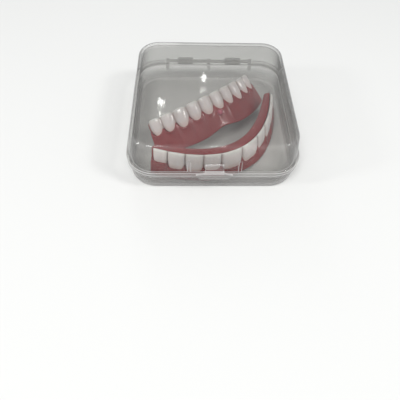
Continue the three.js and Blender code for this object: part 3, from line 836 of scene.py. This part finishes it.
tooth_plastic = new_material("tooth_white_plastic_moulded")
place = add_node(tooth_plastic, "ShaderNodeTexCoord", {}).outputs["Object"]
rise_along = add_node(tooth_plastic, "ShaderNodeAttribute", {}, attribute_name="rise")
shade = add_node(tooth_plastic, "ShaderNodeValToRGB", {"Fac": rise_along.outputs["Fac"]})
shade.color_ramp.elements[0].position = 0.0
shade.color_ramp.elements[0].color = linear(TOOTH_NECK)
shade.color_ramp.elements[1].position = 1.0
shade.color_ramp.elements[1].color = linear(TOOTH_EDGE)
shade.color_ramp.elements.new(0.35).color = linear(TOOTH_BODY)
shade.color_ramp.elements.new(0.75).color = linear(TOOTH_BODY)
clouds = add_node(
    tooth_plastic, "ShaderNodeTexNoise",
    {"Vector": place, "Scale": 1 / (TOOTH_CLOUD_MM * MM), "Detail": 2.0},
)
cloudy = add_node(
    tooth_plastic, "ShaderNodeMapRange",
    {"Value": clouds.outputs["Fac"], "To Min": 0.97, "To Max": 1.03},
)
# Painted shade: the colour is darkened towards the gaps between crowns, where they shade each other.
near_gap = add_node(tooth_plastic, "ShaderNodeAttribute", {}, attribute_name="gap")
gap_shaded = add_node(
    tooth_plastic, "ShaderNodeMix",
    {0: near_gap.outputs["Fac"], 6: shade.outputs["Color"], 7: linear(TOOTH_GAP_SHADE)},
    data_type="RGBA",
)
tooth_colour = add_node(
    tooth_plastic, "ShaderNodeVectorMath",
    {0: gap_shaded.outputs[2], "Scale": cloudy.outputs["Result"]},
    operation="SCALE",
)
uneven = add_node(
    tooth_plastic, "ShaderNodeBump",
    {"Height": clouds.outputs["Fac"], "Strength": 0.12, "Distance": TOOTH_CLOUD_DEPTH_MM * MM},
)
tooth_gloss = add_node(
    tooth_plastic, "ShaderNodeMapRange",
    {"Value": clouds.outputs["Fac"], "To Min": TOOTH_GLOSSIEST, "To Max": TOOTH_DULLEST},
)
tooth_shader = add_node(
    tooth_plastic, "ShaderNodeBsdfPrincipled",
    {
        "Base Color": tooth_colour.outputs["Vector"],
        "Roughness": tooth_gloss.outputs["Result"],
        "IOR": 1.5,
        "Subsurface Weight": 0.25,
        "Subsurface Radius": (1.0, 0.8, 0.6),
        "Subsurface Scale": TOOTH_LIGHT_DEPTH_MM * MM,
        "Normal": uneven.outputs["Normal"],
    },
)
add_node(tooth_plastic, "ShaderNodeOutputMaterial", {"Surface": tooth_shader.outputs[0]})


def crowns(name, veneer):
    """The row of crowns as a piece, which keeps each point's rise and its nearness to a gap
    between crowns for its material."""
    rings, rise, gap = crown_rings(veneer)
    piece = skin(name, rings)
    for label, value in (("rise", rise), ("gap", gap)):
        kept = piece.data.attributes.new(label, "FLOAT", "POINT")
        kept.data.foreach_set("value", value.ravel().astype(np.float32))
    smooth(piece, VENEER_SHARP_ANGLE)
    piece.data.materials.append(tooth_plastic)
    return piece


upper_crowns = crowns("upper_veneer_crowns", UPPER)
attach(upper_crowns, "box_tray")
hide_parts("upper_teeth")


# The lower veneer's gum is a taller, flatter moulding of the same red plastic. It leans back in
# the box on the feet of its two ends, so its broad front shows. A small round nub stands on it
# below the middle crowns, where the mould's gate was.

LOWER = {
    "half_width": 28.3, "depth": 11.32, "height": 17.4, "end_lift": 2, "frenum_lift": 1.8,
    "flare": 3, "splay": 0.06, "papilla_depth": 5,
    "teeth": np.array([
        [0.193, 0.471, 1.6],
        [0.197, 0.471, 1.7],
        [0.213, 0.494, 1.9],
        [0.203, 0.46, 1.9],
        [0.194, 0.437, 1.8],
    ]),
    "groove": 0.4, "flatness": 2.1, "papilla_sharpness": 2.3, "edge_notch": 1.2, "roof_setback": 1.3,
    "root_swell": 0.1, "end_taper": 0.2, "gap_shade_sharpness": 5,
    "turn": 30.3, "lean": -42.9, "roll": -3.9, "place": (0.707, -2.235, -0.18),
}
NUB_RADIUS = 1.35
NUB_BESIDE_MIDDLE = 1
NUB_BELOW_NECK = 1.2
NUB_PROUD = 0.5
NUB_RINGS = 15
NUB_STEPS = 28


def nub(veneer):
    """A ball on the gum: rings of radius r sin(a) at heights r cos(a) about its centre."""
    fullness = veneer["teeth"][0, 2]
    height = veneer["height"] * (1 - veneer["teeth"][0, 1]) - NUB_BELOW_NECK
    outward = fullness + NUB_PROUD
    centre = lay(veneer, np.array([-NUB_BESIDE_MIDDLE]), np.array([[outward]]), np.array([[height]]))[0, 0]
    down = np.radians(np.linspace(175, 5, NUB_RINGS))[:, None]
    around = np.radians(np.linspace(0, 360, NUB_STEPS, endpoint=False))[None]
    ball = np.stack([
        np.sin(down) * np.cos(around),
        np.sin(down) * np.sin(around),
        np.broadcast_to(np.cos(down), (NUB_RINGS, NUB_STEPS)),
    ], axis=-1)
    return skin("nub", centre + NUB_RADIUS * ball)


# The nub is coloured pale pink and shines more than the gum: a painted highlight that lifts the small ball
# out of the gum around it.
NUB_HIGHLIGHT_PINK = "#ab4a5f"

nub_highlight = new_material("gum_red_plastic_painted_highlight")
nub_highlight_shader = add_node(
    nub_highlight, "ShaderNodeBsdfPrincipled",
    {
        "Base Color": linear(NUB_HIGHLIGHT_PINK),
        "Roughness": 0.12,
        "IOR": 1.5,
        "Subsurface Weight": 0.2,
        "Subsurface Radius": (1.0, 0.4, 0.4),
        "Subsurface Scale": GUM_LIGHT_DEPTH_MM * MM,
    },
)
add_node(nub_highlight, "ShaderNodeOutputMaterial", {"Surface": nub_highlight_shader.outputs[0]})

lower_gum = skin("lower_veneer_gum", gum_rings(LOWER))
gate = nub(LOWER)
for moulded in (lower_gum, gate):
    moulded.data.materials.append(gum_plastic)
    moulded.data.materials.append(nub_highlight)
# The nub's faces take the pale pink of the painted highlight.
gate.data.polygons.foreach_set("material_index", np.ones(len(gate.data.polygons), int))
combine(lower_gum, gate, "UNION")
smooth(lower_gum, VENEER_SHARP_ANGLE)
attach(lower_gum, "box_tray")
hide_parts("lower_gum")


# The lower veneer's crowns are the same off-white plastic: ten narrower teeth, rounder across
# than the upper ones, with deeper grooves between them.

lower_crowns = crowns("lower_veneer_crowns", LOWER)
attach(lower_crowns, "box_tray")
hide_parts("lower_teeth")


# The box stands on a plain floor of pale matt paint. The floor lies a hair below its underside, so
# the two flat faces don't show through each other.

FLOOR_HALF = 3000
FLOOR_DROP = 0.1
FLOOR_PAINT = "#e2e2e0"

floor_corners = np.array([
    [-FLOOR_HALF, -FLOOR_HALF, -FLOOR_DROP],
    [FLOOR_HALF, -FLOOR_HALF, -FLOOR_DROP],
    [FLOOR_HALF, FLOOR_HALF, -FLOOR_DROP],
    [-FLOOR_HALF, FLOOR_HALF, -FLOOR_DROP],
])
floor_mesh = bpy.data.meshes.new("floor")
floor_mesh.from_pydata((floor_corners * MM).tolist(), [], [[0, 1, 2, 3]])
floor = bpy.data.objects.new("floor", floor_mesh)
bpy.context.scene.collection.objects.link(floor)
pale_paint = new_material("pale_matt_paint")
paint = add_node(
    pale_paint, "ShaderNodeBsdfPrincipled",
    {"Base Color": linear(FLOOR_PAINT), "Roughness": 0.7, "Specular IOR Level": 0.2},
)
add_node(pale_paint, "ShaderNodeOutputMaterial", {"Surface": paint.outputs[0]})
floor_mesh.materials.append(pale_paint)


# Soft studio light: a key lamp high at the front left, a fill at the right, a low-power one behind
# and one at the left for the walls, all in an even pale surround. Two small lamps behind glint in
# the lid and the tray's floor, and one in front glints on the crowns.

SURROUND_COLOUR = "#f2f4f6"
SURROUND_STRENGTH = 0.58
LAMPS_AIM = (0, 0, 12)


def softbox(name, place_mm, size_mm, watts):
    """A square lamp that faces the box: its own -Z is turned to point from it to the aim."""
    lamp = bpy.data.lights.new(name, "AREA")
    lamp.size = size_mm * MM
    lamp.energy = watts
    made = bpy.data.objects.new(name, lamp)
    made.location = np.array(place_mm) * MM
    ahead = np.array(LAMPS_AIM) - np.array(place_mm)
    made.rotation_mode = "QUATERNION"
    made.rotation_quaternion = Vector(ahead.tolist()).to_track_quat("-Z", "Y")
    bpy.context.scene.collection.objects.link(made)


softbox("key", (-190, -280, 650), 200, 2.0)
softbox("back", (-160, 700, 330), 240, 0.5)
softbox("left_glint", (-650, -150, 330), 90, 0.9)
softbox("right", (480, -160, 560), 130, 1.6)
softbox("back_glint", (-100, 690, 650), 14, 0.02)
softbox("far_glint", (33, 757, 612), 14, 0.02)
softbox("crown_glint", (60, -270, 640), 60, 0.4)

surround = bpy.data.worlds.new("surround")
surround.use_nodes = True
surround.node_tree.nodes["Background"].inputs["Color"].default_value = linear(SURROUND_COLOUR)
surround.node_tree.nodes["Background"].inputs["Strength"].default_value = SURROUND_STRENGTH
bpy.context.scene.world = surround
bpy.context.scene.view_settings.view_transform = "Standard"

# Up to ten walls of clear plastic lie one behind another, each with two faces.
bpy.context.scene.cycles.transparent_max_bounces = 32


# The camera stands where the photograph was taken from: in front of the latch, a little to the
# left, looking down by 57 degrees from close by.

CAMERA_PLACE = (-10.13, -123.25, 125.72)
CAMERA_RIGHT = (0.99958, -0.0165, 0.02383)
CAMERA_UP = (0.00114, 0.84383, 0.53661)
CAMERA_BACK = (-0.02897, -0.53636, 0.84349)
FOCAL_SHARE = 346 / 400

lens = bpy.data.cameras.new("camera")
lens.sensor_width = 36
lens.lens = lens.sensor_width * FOCAL_SHARE
lens.clip_start = 0.01
lens.clip_end = 20
camera = bpy.data.objects.new("camera", lens)
turned = Matrix(np.array([CAMERA_RIGHT, CAMERA_UP, CAMERA_BACK]).T.tolist()).to_4x4()
camera.matrix_world = Matrix.Translation((np.array(CAMERA_PLACE) * MM).tolist()) @ turned
bpy.context.scene.collection.objects.link(camera)
bpy.context.scene.camera = camera
